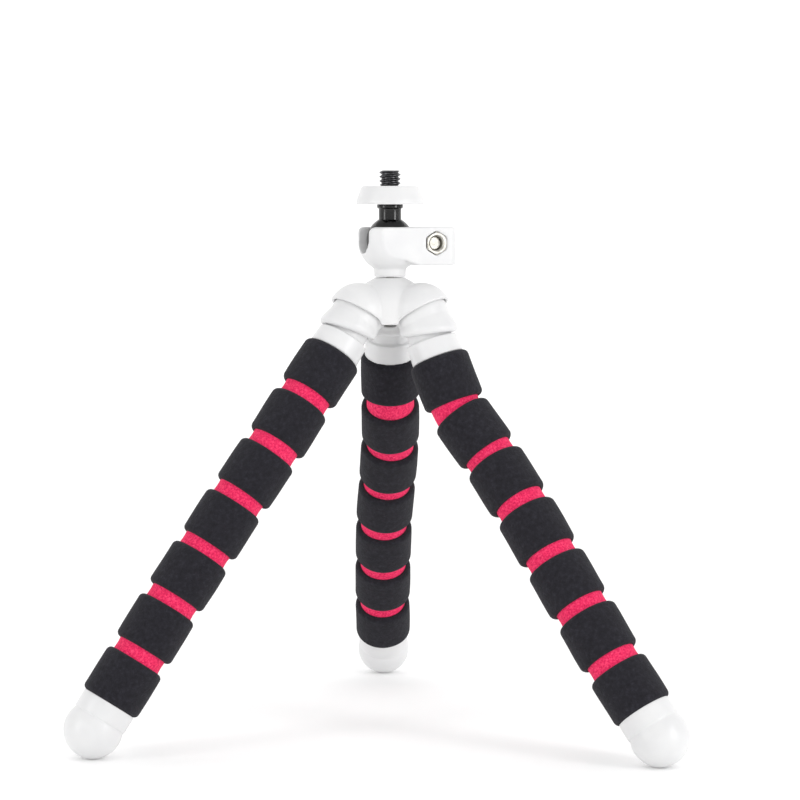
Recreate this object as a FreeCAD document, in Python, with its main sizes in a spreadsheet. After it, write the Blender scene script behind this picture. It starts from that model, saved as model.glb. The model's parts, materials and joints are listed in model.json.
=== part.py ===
import FreeCAD, Part
import math
import os
import re
import Sketcher
from FreeCAD import Placement, Rotation, Vector

# Portable tripod with three bendable foam legs and a ball clamp head.
# Millimetres. The row frame stands on the floor: +Z up, the camera side of the photograph is -Y,
# the origin lies on the floor in the middle of the bounding box.
# The hub's own frame has its origin on the hub axis, level with the three fold pins.

# Sizes of the whole tripod, one cell each. Angles are in degrees.
SIZES = {
    # camera stud, a 1/4 inch 20 thread
    "stud_radius": 3.175,
    "stud_pitch": 1.27,
    "stud_thread_depth": 0.65,
    "stud_crest": 0.3,
    "stud_exposed": 4.6,
    "stud_tip_chamfer": 0.5,
    "stud_pitch_radius": 2.85,
    "stud_shank_radius": 2.0,
    "stud_shank_length": 9.0,
    # lock disc under the camera
    "disc_top_radius": 8.4,
    "disc_bottom_radius": 10.15,
    "disc_thickness": 5.5,
    "disc_edge": 0.5,
    "disc_countersink": 0.35,
    # ball with its neck and flange
    "ball_radius": 7.0,
    "ball_neck_radius": 3.35,
    "ball_neck_top": 9.5,
    "flange_radius": 3.9,
    "flange_thickness": 1.1,
    # split clamp around the ball, measured from the ball's centre
    "clamp_radius": 9.7,
    "clamp_edge": 0.5,
    "clamp_top": 3.9,
    "clamp_front": 8.1,
    "clamp_neck_radius": 4.8,
    "clamp_neck_bottom": 10.9,
    "ear_reach": 18.8,
    "ear_back": 5.0,
    "ear_drop": 7.5,
    "ear_corner": 1.6,
    "jaw_corner": 2.2,
    "ear_end_round": 2.5,
    "slot_width": 1.5,
    "notch_clearance": 1.1,
    "notch_rise": 0.5,
    "head_turn": 21.0,
    # clamp bolt, nut and knob
    "bolt_radius": 2.0,
    "bolt_inset": 7.0,
    "bolt_drop": 0.9,
    "bolt_recess": 1.6,
    "bolt_head_thickness": 2.0,
    "nut_across_flats": 6.1,
    "nut_thickness": 3.0,
    "nut_proud": 0.2,
    "nut_chamfer": 0.5,
    "knob_radius": 5.2,
    "knob_thickness": 7.0,
    "knob_groove_radius": 1.1,
    "knob_edge": 0.6,
    "knob_gap": 0.3,
    # hub: crown, base, screw and fold pins, heights from the pins
    "ball_height": 21.8,
    "pin_circle_radius": 10.8,
    "pin_radius": 1.0,
    "pin_end_gap": 0.3,
    "pin_cover": 1.8,
    "boss_radius": 4.8,
    "pan_gap": 0.3,
    "boss_height": 0.3,
    "crown_bulge": 11.0,
    "crown_skirt_radius": 11.4,
    "crown_skirt_drop": 3.1,
    "crown_wall": 1.3,
    "hood_wall": 1.0,
    "hood_tilt": 32.0,
    "core_radius": 2.0,
    "core_top": 3.5,
    "core_bottom": 1.6,
    "lug_thickness": 3.0,
    "lug_eye_radius": 2.4,
    "lug_low": 0.8,
    "key_height": 0.8,
    "key_radius": 1.7,
    "screw_radius": 1.1,
    "screw_head_radius": 1.9,
    "screw_head_height": 1.2,
    "screw_bite": 2.7,
    # leg root, the knuckle that folds in the crown
    "root_radius": 7.9,
    "root_straight": 2.5,
    "lip_radius": 8.65,
    "lip_height": 1.8,
    "lip_round": 1.1,
    "parting_drop": 6.7,
    "parting_tilt": 15.0,
    "parting_wedge": 12.0,
    "parting_gap": 0.32,
    "spigot_radius": 6.4,
    "spigot_top": 4.4,
    # collar, foam rings, inner sleeve and foot
    "collar_top_radius": 7.6,
    "collar_radius": 7.9,
    "foam_start": 14.5,
    "foam_radius": 9.05,
    "foam_rounding": 1.5,
    "ring_length": 14.2,
    "groove_width": 3.7,
    "sleeve_radius": 7.4,
    "sleeve_wall": 1.7,
    "sleeve_end_gap": 0.1,
    "foot_radius": 8.5,
    "foot_neck_radius": 8.15,
    "foot_waist_radius": 7.95,
    "foot_neck_length": 5.2,
    "foot_waist_length": 0.35,
    "foot_ball_drop": 8.7,
    # bendable core of ball links
    "link_ball_radius": 3.7,
    "link_neck_radius": 2.0,
    "link_neck_length": 8.5,
    "link_flare": 3.5,
    "socket_radius": 5.2,
    "socket_mouth": 2.0,
    # fits
    "running_fit": 0.05,
    "slide_fit": 0.1,
    "ball_fit": 0.05,
    "dome_fit": 0.35,
    "leg_clearance": 0.25,
    "lug_clearance": 0.3,
    # leg posture: one outward splay, then the bend of each groove from the hub down
    "splay": 36.7,
    "left_1": 0.0,
    "left_2": -4.0,
    "left_3": 1.5,
    "left_4": 1.5,
    "left_5": 1.0,
    "left_6": -1.0,
    "right_1": -16.5,
    "right_2": -6.5,
    "right_3": 2.5,
    "right_4": 1.0,
    "right_5": 0.0,
    "right_6": 3.0,
    "rear_1": -15.0,
    "rear_2": 3.5,
    "rear_3": 3.0,
    "rear_4": -2.5,
    "rear_5": -1.0,
    "rear_6": -1.5,
    "fold_travel": 42.0,
}

LEG_AZIMUTH = {"left": -150.0, "right": -30.0, "rear": 90.0}
RING_COUNT = 7
KNOB_GROOVES = 8
BOLT_REACH = "(ear_reach - bolt_inset)"
HEX_CORNERS = 6
PARTS_FOLDER = "parts"

doc = FreeCAD.newDocument("portable_tripod")
sheet = doc.addObject("Spreadsheet::Sheet", "sizes")
for row, (word, number) in enumerate(SIZES.items(), 1):
    sheet.set(f"A{row}", word)
    sheet.set(f"B{row}", str(number))
    sheet.setAlias(f"B{row}", word)
doc.recompute()

pieces = {}


# Helpers: a size formula is a text of cell names, such as "foam_radius - foam_rounding".
def cells(formula):
    """The formula with every cell name pointing at the sheet."""
    return re.sub(r"[a-z]\w*", lambda m: "sizes." + m.group() if m.group() in SIZES else m.group(), formula)


def value(formula):
    """The number that the formula has now."""
    return float(sheet.evalExpression(cells(formula)))


def bind(thing, prop, formula):
    """Ties a property of a document object to the sheet."""
    thing.setExpression(prop, cells(formula))


def new_body(label):
    """An empty PartDesign body that becomes the sub-part of this label."""
    body = doc.addObject("PartDesign::Body", label)
    body.Label = label
    pieces[label] = body
    return body


def fix_point(sketch, edge, end, across, up):
    """Holds one end of a sketch edge at two formulas from the sketch's origin."""
    if across == "0":
        sketch.addConstraint(Sketcher.Constraint("PointOnObject", edge, end, -2))
    else:
        number = sketch.addConstraint(Sketcher.Constraint("DistanceX", -1, 1, edge, end, value(across)))
        bind(sketch, f"Constraints[{number}]", across)
    if up == "0":
        sketch.addConstraint(Sketcher.Constraint("PointOnObject", edge, end, -1))
    else:
        number = sketch.addConstraint(Sketcher.Constraint("DistanceY", -1, 1, edge, end, value(up)))
        bind(sketch, f"Constraints[{number}]", up)


def fix_radius(sketch, edge, formula):
    """Ties an arc's or a circle's radius to the sheet."""
    number = sketch.addConstraint(Sketcher.Constraint("Radius", edge, value(formula)))
    bind(sketch, f"Constraints[{number}]", formula)


def draw_outline(sketch, corners):
    """A closed outline. A corner is (across, up), or (across, up, radius, side) where an arc leaves it,
    which bulges to the left of the way along for side 1 and to the right for side -1."""
    points = [Vector(value(corner[0]), value(corner[1]), 0) for corner in corners]
    ends = []
    for i, corner in enumerate(corners):
        start, stop = points[i], points[(i + 1) % len(points)]
        if len(corner) == 2:
            edge = sketch.addGeometry(Part.LineSegment(start, stop), False)
            ends.append((edge, 1, 2))
            continue
        radius, side = value(corner[2]), corner[3]
        chord = stop - start
        left = Vector(-chord.y, chord.x, 0).normalize()
        back = math.sqrt(radius**2 - (chord.Length / 2) ** 2)
        centre = (start + stop) * 0.5 - left * side * back
        angles = [math.atan2(p.y - centre.y, p.x - centre.x) for p in (start, stop)]
        if side > 0:
            angles.reverse()
        circle = Part.Circle(centre, Vector(0, 0, 1), radius)
        edge = sketch.addGeometry(Part.ArcOfCircle(circle, angles[0], angles[1]), False)
        ends.append((edge, 2, 1) if side > 0 else (edge, 1, 2))
    for i, corner in enumerate(corners):
        edge, start, stop = ends[i]
        following, next_start, _ = ends[(i + 1) % len(ends)]
        sketch.addConstraint(Sketcher.Constraint("Coincident", edge, stop, following, next_start))
        fix_point(sketch, edge, start, corner[0], corner[1])
        if len(corner) == 4:
            fix_radius(sketch, edge, corner[2])


def draw_circle(sketch, across, up, radius):
    """A full circle with its centre and radius tied to the sheet."""
    circle = Part.Circle(Vector(value(across), value(up), 0), Vector(0, 0, 1), value(radius))
    edge = sketch.addGeometry(circle, False)
    fix_point(sketch, edge, 3, across, up)
    fix_radius(sketch, edge, radius)


def new_sketch(body, plane, offset="0", seat_at=None):
    """A sketch on one of the body's own planes, moved along the plane's normal, or set at a placement
    in the plane's frame given as (x, y, z, turn axis, turn) formulas."""
    sketch = body.newObject("Sketcher::SketchObject", f"{body.Name}_sketch")
    support = next(f for f in body.Origin.OriginFeatures if f.Role == plane)
    sketch.AttachmentSupport = [(support, "")]
    sketch.MapMode = "FlatFace"
    if offset != "0":
        bind(sketch, "AttachmentOffset.Base.z", offset)
    if seat_at:
        *place, axis, degrees = seat_at
        sketch.AttachmentOffset = Placement(Vector(*map(value, place)), Rotation(axis, value(degrees)))
        for way, formula in zip("xyz", place):
            if formula != "0":
                bind(sketch, f"AttachmentOffset.Base.{way}", formula)
        bind(sketch, "AttachmentOffset.Rotation.Angle", degrees)
    return sketch


def turn(body, corners, kind="Revolution", seat_at=None):
    """Turns an outline of (radius, height) corners about Z: Revolution adds it, Groove cuts it."""
    sketch = new_sketch(body, "XZ_Plane", seat_at=seat_at)
    draw_outline(sketch, corners)
    feature = body.newObject(f"PartDesign::{kind}", f"{body.Name}_{kind.lower()}")
    feature.Profile = sketch
    feature.ReferenceAxis = (sketch, ["V_Axis"])
    feature.Angle = 360
    doc.recompute()
    return feature


def pad(body, sketch, length, both=False):
    """Pads the sketch along its normal, or half to each side."""
    feature = body.newObject("PartDesign::Pad", f"{body.Name}_pad")
    feature.Profile = sketch
    feature.Midplane = both
    bind(feature, "Length", length)
    doc.recompute()
    return feature


def pocket(body, sketch, length=None, forward=False):
    """Cuts the sketch: right through both ways, or one length against (forward: along) its normal."""
    feature = body.newObject("PartDesign::Pocket", f"{body.Name}_pocket")
    feature.Profile = sketch
    before = body.Shape.Volume
    if length is None:
        feature.Type = "ThroughAll"
        feature.Midplane = True
    else:
        feature.Reversed = forward
        bind(feature, "Length", length)
    doc.recompute()
    if body.Shape.Volume > before - 1e-6:
        raise RuntimeError(f"{body.Label}: a pocket cuts nothing")
    return feature


def around_z(body, features, count):
    """Repeats features round the body's Z axis."""
    pattern = body.newObject("PartDesign::PolarPattern", f"{body.Name}_pattern")
    pattern.Originals = features
    axis = next(f for f in body.Origin.OriginFeatures if f.Role == "Z_Axis")
    pattern.Axis = (axis, [""])
    pattern.Angle = 360
    pattern.Occurrences = round(count)
    body.Tip = pattern
    doc.recompute()
    return pattern


def hexagon(across_flats, centre_across="0", centre_up="0"):
    """The six corners of a hexagon that stands on a corner."""
    corners = []
    for i in range(HEX_CORNERS):
        angle = 90 + 60 * i
        reach = f"({across_flats}) / sqrt(3)"
        corners.append(
            (
                f"{centre_across} + {reach} * {math.cos(math.radians(angle)):.9f}",
                f"{centre_up} + {reach} * {math.sin(math.radians(angle)):.9f}",
            )
        )
    return corners


def turned(axis, degrees):
    """A placement that only turns."""
    return Placement(Vector(), Rotation(axis, degrees))


def moved(across, depth, up):
    """A placement that only moves."""
    return Placement(Vector(across, depth, up), Rotation())


AXIS_X, AXIS_Y, AXIS_Z = Vector(1, 0, 0), Vector(0, 1, 0), Vector(0, 0, 1)


# Leg posture. A leg's own frame has its origin at the fold pin, +Z up the leg, +X outwards.
ring_pitch = value("ring_length + groove_width")
joint_drops = [value("foam_start - groove_width / 2") + ring_pitch * k for k in range(1, RING_COUNT)]
foam_end = value("foam_start") + ring_pitch * RING_COUNT - value("groove_width")
foot_drop = foam_end + value("foot_ball_drop")


def bend_axis(groove):
    """Odd grooves bend the leg in its fold plane, even grooves sway it sideways."""
    return AXIS_Y if groove % 2 else AXIS_X


def leg_chain(leg):
    """Placements in the leg's own frame: [0] at the fold pin, [k] at the joint in groove k, unturned by depth."""
    chain = [Placement()]
    depth = 0.0
    for groove, drop in enumerate(joint_drops, 1):
        step = moved(0, 0, depth - drop)
        chain.append(chain[-1] * step * turned(bend_axis(groove), value(f"{leg}_{groove}")))
        depth = drop
    return chain


def foot_centre(leg):
    """The foot ball's centre in the leg's own frame."""
    return leg_chain(leg)[-1] * Vector(0, 0, joint_drops[-1] - foot_drop)


def drop_at(foot, splay):
    """How far the foot's centre lies below the fold pin at this splay."""
    return -foot.x * math.sin(math.radians(splay)) - foot.z * math.cos(math.radians(splay))


stand_drop = drop_at(foot_centre("left"), value("splay"))


def leg_splay(leg):
    """The splay that sets this leg's foot on the floor with the others."""
    foot = foot_centre(leg)
    lean = math.degrees(math.atan2(foot.x, -foot.z))
    return math.degrees(math.acos(stand_drop / math.hypot(foot.x, foot.z))) - lean


def leg_in_hub(leg):
    """The leg's frame in the hub's frame."""
    out = turned(AXIS_Z, LEG_AZIMUTH[leg]) * moved(value("pin_circle_radius"), 0, 0)
    return out * turned(AXIS_Y, -leg_splay(leg))


# The origin lies under the middle of the bounding box, whose sides are set by the three feet.
feet = [leg_in_hub(leg) * foot_centre(leg) for leg in LEG_AZIMUTH]
middle_x = (min(foot.x for foot in feet) + max(foot.x for foot in feet)) / 2
middle_y = (min(foot.y for foot in feet) + max(foot.y for foot in feet)) / 2
hub = moved(-middle_x, -middle_y, stand_drop + value("foot_radius"))
ball_centre = hub * moved(0, 0, value("ball_height"))
clamp_frame = ball_centre * turned(AXIS_Z, value("head_turn"))
seat = ball_centre * moved(0, 0, value("ball_neck_top + flange_thickness"))


# Camera stud: a threaded end above the disc, a plain shank held in the stem.
def make_camera_stud():
    body = new_body("camera_stud")
    disc = "disc_thickness"
    tip = f"{disc} + stud_exposed"
    turn(
        body,
        [
            ("0", "-stud_shank_length"),
            ("stud_shank_radius", "-stud_shank_length"),
            ("stud_shank_radius", "0"),
            ("stud_pitch_radius", "0"),
            ("stud_pitch_radius", disc),
            ("stud_radius", disc),
            ("stud_radius", f"{tip} - stud_tip_chamfer"),
            ("stud_radius - stud_tip_chamfer", tip),
            ("0", tip),
        ],
    )
    low = f"{disc} + stud_crest"
    high = f"{disc} + stud_pitch"
    middle = f"{disc} + (stud_crest + stud_pitch) / 2"
    deep = "stud_radius - stud_thread_depth"
    outer = "stud_radius + stud_crest"
    slope = "stud_crest * (stud_pitch - stud_crest) / stud_thread_depth / 2"
    groove = turn(
        body,
        [(deep, middle), (outer, f"{low} - {slope}"), (outer, f"{high} + {slope}")],
        "Groove",
    )
    pattern = body.newObject("PartDesign::LinearPattern", "thread_pattern")
    pattern.Originals = [groove]
    upright = next(f for f in body.Origin.OriginFeatures if f.Role == "Z_Axis")
    pattern.Direction = (upright, [""])
    count = int((value("stud_exposed - stud_tip_chamfer")) / value("stud_pitch"))
    bind(pattern, "Length", f"stud_pitch * {count - 1}")
    pattern.Occurrences = count
    body.Tip = pattern
    body.Placement = seat


# Lock disc: a tapered disc that turns up the stud against the camera.
def make_lock_disc():
    body = new_body("lock_disc")
    bore = "stud_pitch_radius + running_fit"
    turn(
        body,
        [
            (bore, "running_fit"),
            ("disc_bottom_radius - disc_edge", "running_fit"),
            ("disc_bottom_radius", "disc_edge"),
            ("disc_top_radius + disc_edge / 2", "disc_thickness - disc_edge"),
            ("disc_top_radius - disc_edge", "disc_thickness"),
            ("stud_radius + disc_countersink", "disc_thickness"),
            (bore, f"disc_thickness + {bore} - stud_radius - disc_countersink"),
        ],
    )
    body.Placement = seat


# Ball, neck and flange in one piece, with a blind hole for the stud's shank.
def make_ball_stem():
    body = new_body("ball_stem")
    top = "ball_neck_top + flange_thickness"
    turn(
        body,
        [
            ("0", "-ball_radius", "ball_radius", -1),
            ("ball_neck_radius", "sqrt(ball_radius^2 - ball_neck_radius^2)"),
            ("ball_neck_radius", "ball_neck_top"),
            ("flange_radius", "ball_neck_top"),
            ("flange_radius", top),
            ("stud_shank_radius", top),
            ("stud_shank_radius", f"{top} - stud_shank_length"),
            ("0", f"{top} - stud_shank_length"),
        ],
    )
    body.Placement = ball_centre


# Split clamp: a cup round the ball, a notch on one side, and two ears that the bolt pulls together.
def make_ball_clamp():
    body = new_body("ball_clamp")
    turn(
        body,
        [
            ("0", "-clamp_neck_bottom"),
            ("clamp_neck_radius", "-clamp_neck_bottom"),
            ("clamp_neck_radius", "-sqrt(clamp_radius^2 - clamp_neck_radius^2)", "clamp_radius", -1),
            ("clamp_radius", "0"),
            ("clamp_radius", "clamp_top - clamp_edge"),
            ("clamp_radius - clamp_edge", "clamp_top"),
            ("0", "clamp_top"),
        ],
    )
    ears = new_sketch(body, "XZ_Plane", "-ear_back")
    draw_outline(
        ears,
        [
            ("0", "-sqrt(clamp_radius^2 - clamp_front^2)"),
            ("clamp_neck_radius + ear_corner", "-ear_drop"),
            ("ear_reach - ear_corner", "-ear_drop", "ear_corner", -1),
            ("ear_reach", "ear_corner - ear_drop"),
            ("ear_reach", "clamp_top - ear_corner", "ear_corner", -1),
            ("ear_reach - ear_corner", "clamp_top"),
            ("0", "clamp_top"),
        ],
    )
    pad(body, ears, "ear_back + clamp_front")
    cheek = new_sketch(body, "XZ_Plane", "clamp_front")
    draw_outline(
        cheek,
        [
            ("-clamp_radius - clamp_top", "-clamp_neck_bottom"),
            ("clamp_radius + clamp_top", "-clamp_neck_bottom"),
            ("clamp_radius + clamp_top", "clamp_top + slot_width"),
            ("-clamp_radius - clamp_top", "clamp_top + slot_width"),
        ],
    )
    pocket(body, cheek, "clamp_radius", forward=True)
    cup = "ball_radius + ball_fit"
    mouth = f"sqrt(({cup})^2 - clamp_top^2)"
    turn(
        body,
        [
            ("0", f"-({cup})", cup, -1),
            (mouth, "clamp_top"),
            (mouth, "clamp_top + slot_width"),
            ("0", "clamp_top + slot_width"),
        ],
        "Groove",
    )
    notch = new_sketch(body, "YZ_Plane")
    half = "ball_neck_radius + notch_clearance"
    draw_outline(
        notch,
        [
            (f"-({half})", "notch_rise"),
            (half, "notch_rise"),
            (half, "clamp_top + slot_width"),
            (f"-({half})", "clamp_top + slot_width"),
        ],
    )
    pocket(body, notch, "clamp_radius + slot_width")
    notch_floor = new_sketch(body, "YZ_Plane")
    draw_circle(notch_floor, "0", "notch_rise", half)
    pocket(body, notch_floor, "clamp_radius + slot_width")
    jaw = new_sketch(body, "XZ_Plane")
    jaw_end = f"sqrt(clamp_radius^2 - ({half})^2)"
    draw_outline(
        jaw,
        [
            (f"-({jaw_end})", "clamp_top - jaw_corner", "jaw_corner", 1),
            (f"jaw_corner - {jaw_end}", "clamp_top"),
            (f"jaw_corner - {jaw_end}", "clamp_top + slot_width"),
            ("-clamp_radius - slot_width", "clamp_top + slot_width"),
            ("-clamp_radius - slot_width", "clamp_top - jaw_corner"),
        ],
    )
    pocket(body, jaw)
    for depth, side in (("-clamp_front", 1), ("ear_back", -1)):
        beyond = f"{depth} - {side} * ear_end_round"
        inside = f"{depth} + {side} * ear_end_round"
        end = new_sketch(body, "XY_Plane")
        draw_outline(
            end,
            [
                ("ear_reach - ear_end_round", depth, "ear_end_round", -side),
                ("ear_reach", inside),
                ("ear_reach + ear_end_round", inside),
                ("ear_reach + ear_end_round", beyond),
                ("ear_reach - ear_end_round", beyond),
            ],
        )
        pocket(body, end)
    slot = new_sketch(body, "YZ_Plane")
    draw_outline(
        slot,
        [
            ("-slot_width / 2", "-ear_drop - slot_width / 4"),
            ("slot_width / 2", "-ear_drop - slot_width / 4"),
            ("slot_width / 2", "clamp_top + slot_width"),
            ("-slot_width / 2", "clamp_top + slot_width"),
        ],
    )
    pocket(body, slot, "ear_reach + slot_width", forward=True)
    turn(
        body,
        [
            ("0", "-clamp_radius - clamp_top"),
            ("bolt_radius + running_fit", "-clamp_radius - clamp_top"),
            ("bolt_radius + running_fit", "ear_back"),
            ("knob_radius + knob_gap", "ear_back"),
            ("knob_radius + knob_gap", "ear_back + clamp_radius"),
            ("0", "ear_back + clamp_radius"),
        ],
        "Groove",
        (BOLT_REACH, "-bolt_drop", "0", -AXIS_X, "90"),
    )
    nut_seat = new_sketch(body, "XZ_Plane", "clamp_front + nut_proud - nut_thickness")
    draw_outline(nut_seat, hexagon("nut_across_flats + 2 * slide_fit", BOLT_REACH, "-bolt_drop"))
    pocket(body, nut_seat, "nut_thickness + slot_width", forward=True)
    bore = new_sketch(body, "XY_Plane", "-clamp_neck_bottom")
    draw_circle(bore, "0", "0", "screw_radius + running_fit")
    pocket(body, bore, "screw_bite + slide_fit", forward=True)
    body.Placement = clamp_frame


# Bolt, nut and knob lie on the clamp's bolt axis. Their own Z points from the front ear to the back.
def bolt_axis(height):
    """A placement on the bolt axis, this far behind the ball's centre plane."""
    centre = moved(value(BOLT_REACH), height, -value("bolt_drop"))
    return clamp_frame * centre * turned(AXIS_X, -90)


def make_clamp_bolt():
    body = new_body("clamp_bolt")
    length = "ear_back + knob_gap + knob_thickness - bolt_head_thickness + clamp_front - bolt_recess"
    turn(
        body,
        [
            ("0", "0"),
            ("bolt_radius - stud_crest", "0"),
            ("bolt_radius", "stud_crest"),
            ("bolt_radius", length),
            ("0", length),
        ],
    )
    head = new_sketch(body, "XY_Plane", length)
    draw_outline(head, hexagon("nut_across_flats"))
    pad(body, head, "bolt_head_thickness")
    body.Placement = bolt_axis(-value("clamp_front - bolt_recess"))


def make_clamp_knob():
    body = new_body("clamp_knob")
    turn(
        body,
        [
            ("bolt_radius", "0"),
            ("knob_radius - 2 * knob_edge", "0"),
            ("knob_radius", "2 * knob_edge"),
            ("knob_radius", "knob_thickness - knob_edge"),
            ("knob_radius - knob_edge", "knob_thickness"),
            ("bolt_radius", "knob_thickness"),
        ],
    )
    head_seat = new_sketch(body, "XY_Plane", "knob_thickness - bolt_head_thickness")
    draw_outline(head_seat, hexagon("nut_across_flats"))
    pocket(body, head_seat, "bolt_head_thickness + knob_edge", forward=True)
    grip = new_sketch(body, "XY_Plane")
    draw_circle(grip, "knob_radius + knob_groove_radius / 2", "0", "knob_groove_radius")
    groove = pocket(body, grip, "knob_thickness", forward=True)
    around_z(body, [groove], KNOB_GROOVES)
    body.Placement = bolt_axis(value("ear_back + knob_gap"))


def make_clamp_nut():
    body = new_body("clamp_nut")
    side = new_sketch(body, "XY_Plane")
    draw_outline(side, hexagon("nut_across_flats"))
    draw_circle(side, "0", "0", "bolt_radius + running_fit")
    pad(body, side, "nut_thickness")
    corner = "nut_across_flats / sqrt(3)"
    turn(
        body,
        [
            (f"{corner} - nut_chamfer", "0"),
            (f"{corner} + nut_chamfer", "0"),
            (f"{corner} + nut_chamfer", "nut_chamfer"),
            (corner, "nut_chamfer / 2"),
        ],
        "Groove",
    )
    turn(
        body,
        [("0", "0"), ("bolt_radius + nut_chamfer", "0"), ("0", "bolt_radius + nut_chamfer")],
        "Groove",
    )
    body.Placement = bolt_axis(-value("clamp_front + nut_proud"))


# Hub base: a core with three lugs, each with an eye that holds a fold pin.
def make_hub_base():
    body = new_body("hub_base")
    bore = "screw_radius + slide_fit"
    turn(
        body,
        [
            (bore, "-core_bottom"),
            ("core_radius", "-core_bottom"),
            ("core_radius", "core_top"),
            (bore, "core_top"),
        ],
    )
    for azimuth in LEG_AZIMUTH.values():
        way = ("0", "0", "0", AXIS_Y if azimuth > 0 else -AXIS_Y, str(abs(azimuth)))
        web = new_sketch(body, "XZ_Plane", seat_at=way)
        draw_outline(
            web,
            [
                ("key_radius", "-lug_low"),
                ("pin_circle_radius", "-lug_eye_radius"),
                ("pin_circle_radius", "lug_eye_radius"),
                ("core_top", "core_top + key_height"),
                ("key_radius", "core_top + key_height"),
            ],
        )
        pad(body, web, "lug_thickness", both=True)
        eye = new_sketch(body, "XZ_Plane", seat_at=way)
        draw_circle(eye, "pin_circle_radius", "0", "lug_eye_radius")
        pad(body, eye, "lug_thickness", both=True)
        hole = new_sketch(body, "XZ_Plane", seat_at=way)
        draw_circle(hole, "pin_circle_radius", "0", "pin_radius")
        pin_hole = body.newObject("PartDesign::Pocket", "pin_hole")
        pin_hole.Profile = hole
        pin_hole.Midplane = True
        bind(pin_hole, "Length", "2 * lug_thickness")
        doc.recompute()
    body.Placement = hub


def make_hub_screw():
    body = new_body("hub_screw")
    tip = "ball_height - clamp_neck_bottom + screw_bite"
    turn(
        body,
        [
            ("0", "-core_bottom - screw_head_height"),
            ("screw_head_radius", "-core_bottom - screw_head_height"),
            ("screw_head_radius", "-core_bottom"),
            ("screw_radius", "-core_bottom"),
            ("screw_radius", f"{tip} - slide_fit"),
            ("0", f"{tip} - slide_fit"),
        ],
    )
    body.Placement = hub


# Fold pins: one across each lug, inside the leg's root.
def make_hinge_pins():
    pins = []
    for leg, azimuth in LEG_AZIMUTH.items():
        pin = doc.addObject("Part::Cylinder", f"pin_{leg}")
        bind(pin, "Radius", "pin_radius")
        bind(pin, "Height", "2 * (root_radius - pin_cover - pin_end_gap)")
        out = turned(AXIS_Z, azimuth) * moved(value("pin_circle_radius"), 0, 0)
        half = value("root_radius - pin_cover - pin_end_gap")
        pin.Placement = out * turned(AXIS_X, -90) * moved(0, 0, -half)
        pins.append(pin)
    group = doc.addObject("Part::Compound", "hinge_pins")
    group.Links = pins
    group.Label = "hinge_pins"
    group.Placement = hub
    pieces["hinge_pins"] = group


# Crown: a bulging cap with a round boss, three hoods over the leg roots and three webs between them.
def primitive(kind, name, sizes, placement=None):
    """A Part primitive whose sizes are tied to the sheet."""
    thing = doc.addObject(f"Part::{kind}", name)
    for prop, formula in sizes.items():
        bind(thing, prop, formula)
    if placement:
        thing.Placement = placement
    return thing


def combine(kind, name, shapes):
    """A boolean of several shapes: MultiFuse, or Cut of the first by the second."""
    thing = doc.addObject(f"Part::{kind}", name)
    if kind == "Cut":
        thing.Base, thing.Tool = shapes
    else:
        thing.Shapes = shapes
    return thing


def pivot_in_hub(leg, tilt=0.0):
    """A frame at the fold pin whose +Z points up the leg at this tilt from vertical."""
    out = turned(AXIS_Z, LEG_AZIMUTH[leg]) * moved(value("pin_circle_radius"), 0, 0)
    return out * turned(AXIS_Y, -tilt)


def make_hub_crown():
    boss_top = "ball_height - clamp_neck_bottom - pan_gap"
    cap_body = doc.addObject("PartDesign::Body", "crown_cap")
    turn(
        cap_body,
        [
            ("0", "-crown_skirt_drop"),
            ("crown_skirt_radius", "-crown_skirt_drop", "crown_bulge", -1),
            ("boss_radius", f"{boss_top} - boss_height"),
            ("boss_radius", boss_top),
            ("0", boss_top),
        ],
    )
    cap = "root_radius + dome_fit"
    solids = [cap_body]
    for leg in LEG_AZIMUTH:
        hood = primitive(
            "Sphere", f"hood_{leg}", {"Radius": f"{cap} + hood_wall"}, pivot_in_hub(leg, value("hood_tilt"))
        )
        hood.Angle1 = 0
        solids.append(hood)
    outside = combine("MultiFuse", "crown_outside", solids)
    floor = "core_top + crown_skirt_drop"
    inside = primitive(
        "Cone",
        "crown_inside",
        {
            "Radius1": "crown_skirt_radius - crown_wall",
            "Radius2": f"crown_skirt_radius - crown_wall - ({floor}) / 2",
            "Height": floor,
        },
        moved(0, 0, -value("crown_skirt_drop")),
    )
    below = primitive(
        "Cylinder",
        "crown_below",
        {"Radius": "3 * root_radius", "Height": "3 * root_radius"},
        moved(0, 0, -value("crown_skirt_drop + 3 * root_radius")),
    )
    screw_hole = primitive("Cylinder", "crown_bore", {"Radius": "screw_radius + slide_fit", "Height": boss_top})
    cuts = [inside, below, screw_hole]
    reach = value("3 * root_radius")
    for leg in LEG_AZIMUTH:
        cuts.append(primitive("Sphere", f"cavity_{leg}", {"Radius": cap}, pivot_in_hub(leg)))
        way = primitive(
            "Box",
            f"leg_way_{leg}",
            {
                "Length": "3 * root_radius",
                "Width": f"2 * ({cap})",
                "Height": "3 * root_radius",
            },
        )
        corner = moved(-value("lip_radius + leg_clearance"), -value(cap), -reach)
        way.Placement = pivot_in_hub(leg, value("hood_tilt")) * corner
        cuts.append(way)
        key = primitive(
            "Box",
            f"key_way_{leg}",
            {
                "Length": "core_top + key_height",
                "Width": "lug_thickness + 2 * slide_fit",
                "Height": "key_height + slide_fit",
            },
        )
        half = value("lug_thickness / 2 + slide_fit")
        key.Placement = turned(AXIS_Z, LEG_AZIMUTH[leg]) * moved(0, -half, value("core_top"))
        cuts.append(key)
    hollow = combine("MultiFuse", "crown_hollow", cuts)
    crown = combine("Cut", "hub_crown", (outside, hollow))
    crown.Label = "hub_crown"
    crown.Placement = hub
    pieces["hub_crown"] = crown


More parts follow.
